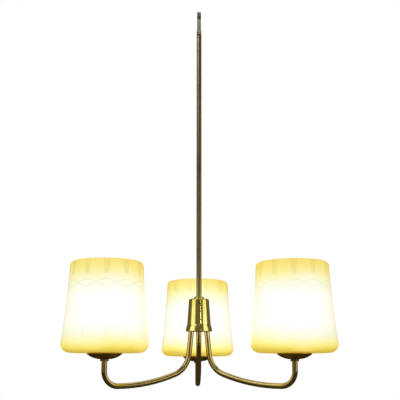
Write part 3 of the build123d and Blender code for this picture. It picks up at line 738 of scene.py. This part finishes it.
def make_bulb_cap(arm):
    """Rolled screw cap with its tapered foot and round contact."""
    low, high = heights(f"bulb_cap_{arm}")
    corners = [(0.0, low), (CONTACT_R, low, 0.4), (CONTACT_R, low + CONTACT_HEIGHT)]
    corners += [(6.2, low + 1.5, 0.3), (*CAP_TAPER, 0.5)]
    corners += climb(CAP_R, CAP_THREAD_LOW, CAP_THREAD_HIGH, 0.5)
    corners += [(CAP_R, high, 0.4), (0.0, high)]
    piece = turned(f"bulb_screw_cap_{arm}", corners, arm_axis(arm), CAP_METAL, steps=64)
    cut_thread(
        piece, arm_axis(arm), CAP_THREAD_LOW + 0.4, CAP_THREAD_HIGH - 0.4,
        CAP_PITCH, CAP_DEPTH, CAP_FADE,
    )
    return piece


def make_holder_shell(arm):
    """Moulded holder body with the long thread that the shade's ring runs on."""
    low, high = heights(f"holder_shell_{arm}")
    thread_low, thread_high = low + 1.5, high - 3.5
    corners = [(HOLDER_BORE_R, low), (HOLDER_R - 0.4, low), (HOLDER_R, low + 0.4)]
    corners += climb(HOLDER_R, thread_low, thread_high, 0.42)
    corners += [(HOLDER_R, high - 2.2), (HOLDER_R, high, 1.4), (HOLDER_MOUTH_R, high, 0.9)]
    corners += [(HOLDER_MOUTH_R, high - HOLDER_LIP), (HOLDER_BORE_R, high - HOLDER_LIP)]
    piece = turned(f"holder_body_{arm}", corners, arm_axis(arm), IVORY, steps=72)
    cut_thread(
        piece, arm_axis(arm), thread_low + 0.1, thread_high - 0.1,
        HOLDER_PITCH, HOLDER_DEPTH, HOLDER_FADE,
    )
    return piece


for arm, azimuth in ARMS.items():
    tube = bent_tube(f"arm_tube_{arm}", azimuth, arm_path(arm), ARM_BRASS)
    settle(tube, "frame", f"arm_{arm}")
    settle(make_cup(arm), "frame", f"cup_{arm}")
    settle(make_cup_collar(arm), "frame", f"arm_collar_{arm}")
    settle(make_shade(arm), f"shade_{arm}", f"shade_{arm}")
    settle(make_bulb(arm), f"bulb_{arm}", f"bulb_glass_{arm}")
    settle(make_bulb_cap(arm), f"bulb_{arm}", f"bulb_cap_{arm}")
    settle(make_holder_shell(arm), "frame", f"holder_shell_{arm}")


# ------------------------------------------------------------------ room
FLOOR_DROP, FLOOR_SIZE, FLOOR_GLOW = 0.9, 9.0, 0.72
DIM_FLOOR, DIM_STUDIO = (0.24, 0.20, 0.12, 1.0), (0.134, 0.113, 0.063, 1.0)

# Each soft light's place, size and power. The two high ones lighten the rod's upper end and its
# fitting, and far_lamp draws the thin streak down the hub.
LIGHTS = {
    "key_window": ((-1.9, -1.6, 0.35), (1.2, 1.8), 2.5),
    "fill_window": ((2.3, -1.2, -0.2), (0.8, 1.4), 3.5),
    "top_light": ((0.2, 0.6, 1.5), (1.6, 1.6), 5.0),
    "high_window": ((-0.85, -0.85, 0.58), (0.7, 0.45), 1.8),
    "high_lamp": ((0.0, -1.20, 0.62), (0.35, 0.35), 0.20),
    "far_lamp": ((0.46, -1.45, HUB_RIM + 0.35), (0.13, 0.04), 0.10),
}
LIGHT_AIM_HEIGHT = HUB_RIM + 0.15

# The camera stands in front of the hub, a little below its rim, and looks up at it.
CAMERA_DISTANCE, CAMERA_DROP, CAMERA_ASIDE = 1.405, 0.0732, 0.002
CAMERA_PITCH, CAMERA_TURN = radians(13.24), radians(-0.98)
CAMERA_SENSOR, CAMERA_LENS = 36.0, 65.4


def split_by_viewer(tree, reflected, seen, output):
    """Shows one surface to the camera and another to reflections and bounced light."""
    path = tree.nodes.new("ShaderNodeLightPath")
    blend = tree.nodes.new("ShaderNodeMixShader")
    tree.links.new(path.outputs["Is Camera Ray"], blend.inputs[0])
    tree.links.new(reflected.outputs[0], blend.inputs[1])
    tree.links.new(seen.outputs[0], blend.inputs[2])
    tree.links.new(blend.outputs[0], tree.nodes[output].inputs["Surface"])


def make_floor():
    """Plain pale floor; to the brass it is as dim as the far floor of a real room."""
    bm = bmesh.new()
    place = Matrix.Translation((0, 0, cad_low.z - FLOOR_DROP))
    bmesh.ops.create_grid(bm, x_segments=2, y_segments=2, size=FLOOR_SIZE, matrix=place)
    s = Shader("pale_floor")
    tone = s.ramp(s.noise(1.5, 2.0, 0.5), [(0.3, (0.86, 0.86, 0.85)), (0.7, (0.90, 0.90, 0.89))])
    s.colour(tone)
    s.glow(tone)
    s.set(Roughness=0.8, Emission_Strength=FLOOR_GLOW)
    dim = s.tree.nodes.new("ShaderNodeBsdfDiffuse")
    dim.inputs["Color"].default_value = DIM_FLOOR
    split_by_viewer(s.tree, dim, s.bsdf, "Material Output")
    finish_mesh("floor", bm, s.material)


def make_sky():
    """Pale surroundings to look at, a dimmer studio to reflect."""
    world = bpy.data.worlds.new("studio")
    bpy.context.scene.world = world
    world.use_nodes = True
    room = world.node_tree.nodes["Background"]
    room.inputs["Color"].default_value = DIM_STUDIO
    seen = world.node_tree.nodes.new("ShaderNodeBackground")
    seen.inputs["Color"].default_value = (1.0, 1.0, 1.0, 1.0)
    split_by_viewer(world.node_tree, room, seen, "World Output")


def soft_light(name, place, size, power):
    """Area light that faces the hub."""
    data = bpy.data.lights.new(name, "AREA")
    data.shape = "RECTANGLE"
    data.size, data.size_y = size
    data.energy = power
    lamp = bpy.data.objects.new(name, data)
    bpy.context.scene.collection.objects.link(lamp)
    aim = (cad_low + cad_high) / 2
    aim.z = LIGHT_AIM_HEIGHT
    lamp.location = place
    lamp.rotation_euler = (aim - Vector(place)).to_track_quat("-Z", "Y").to_euler()


def make_camera():
    data = bpy.data.cameras.new("camera")
    data.sensor_width = CAMERA_SENSOR
    data.lens = CAMERA_LENS
    camera = bpy.data.objects.new("camera", data)
    bpy.context.scene.collection.objects.link(camera)
    ahead = Vector((CAMERA_ASIDE, -CAMERA_DISTANCE, HUB_RIM - CAMERA_DROP))
    camera.location = Matrix.Rotation(CAMERA_TURN, 4, "Z") @ ahead
    camera.rotation_euler = (radians(90) + CAMERA_PITCH, 0, CAMERA_TURN)
    bpy.context.scene.camera = camera


make_floor()
make_sky()
for name, (place, size, power) in LIGHTS.items():
    soft_light(name, place, size, power)
make_camera()
bpy.context.scene.view_settings.view_transform = "Standard"
